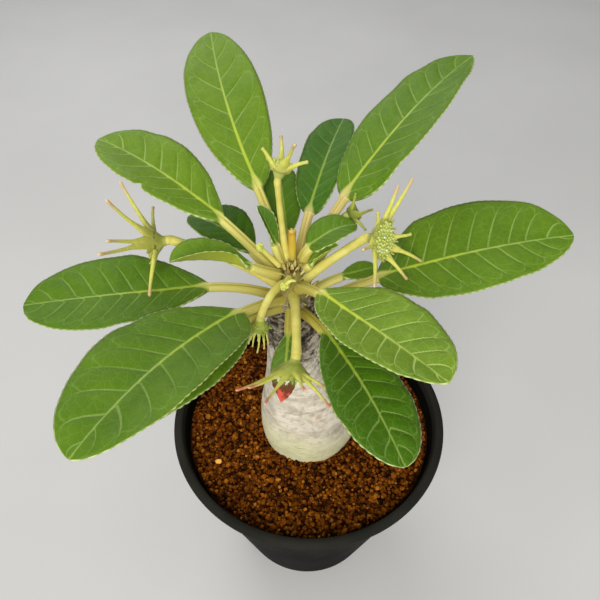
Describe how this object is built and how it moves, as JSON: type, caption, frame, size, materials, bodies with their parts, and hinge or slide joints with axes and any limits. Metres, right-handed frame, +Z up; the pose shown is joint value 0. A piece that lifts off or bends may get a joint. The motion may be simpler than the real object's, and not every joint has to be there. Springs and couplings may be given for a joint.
{
  "type": "potted caudex succulent",
  "caption": "Potted succulent with a swollen pale stem, a crown of broad stalked leaves and finger-bracted flower heads, in a round tapered nursery pot.",
  "frame": {"origin": "centre of the flat underside of the pot", "axes": "+Z up along the pot's axis, -Y towards the side that the longest flower head nods to"},
  "size_m": [0.139, 0.1327, 0.1729],
  "materials": {
    "pot_plastic": "black plastic with a soft sheen",
    "soil_grains": "loose rust-brown granules, matte",
    "stem_bark": "cream bark with fine cracks, darker and rough near the top",
    "leaf_green": "smooth leaf with a soft sheen and pale veins",
    "flower_green": "pale yellow-green, soft sheen"
  },
  "bodies": {
    "root": {"pot": "pot_plastic", "soil": "soil_grains", "trunk": "stem_bark", "leaf_back_left": "leaf_green", "leaf_left_upper": "leaf_green", "leaf_left": "leaf_green", "leaf_front_left": "leaf_green", "leaf_front_left_lower": "leaf_green", "leaf_front_right": "leaf_green", "leaf_front_right_lower": "leaf_green", "leaf_right": "leaf_green", "leaf_back_right": "leaf_green", "leaf_back": "leaf_green", "small_leaf_left": "leaf_green", "small_leaf_back": "leaf_green", "small_leaf_right": "leaf_green", "young_leaf_left": "leaf_green", "young_leaf_back": "leaf_green", "young_leaf_right": "leaf_green", "young_leaf_curled": "leaf_green", "old_leaf_front": "leaf_green", "flower_left": "flower_green", "flower_right": "flower_green", "flower_front": "flower_green", "flower_young": "flower_green", "flower_back": "flower_green", "flower_star": "flower_green", "cut_stalk": "flower_green", "bud_back": "flower_green", "bud_front": "flower_green"}
  },
  "joints": []
}
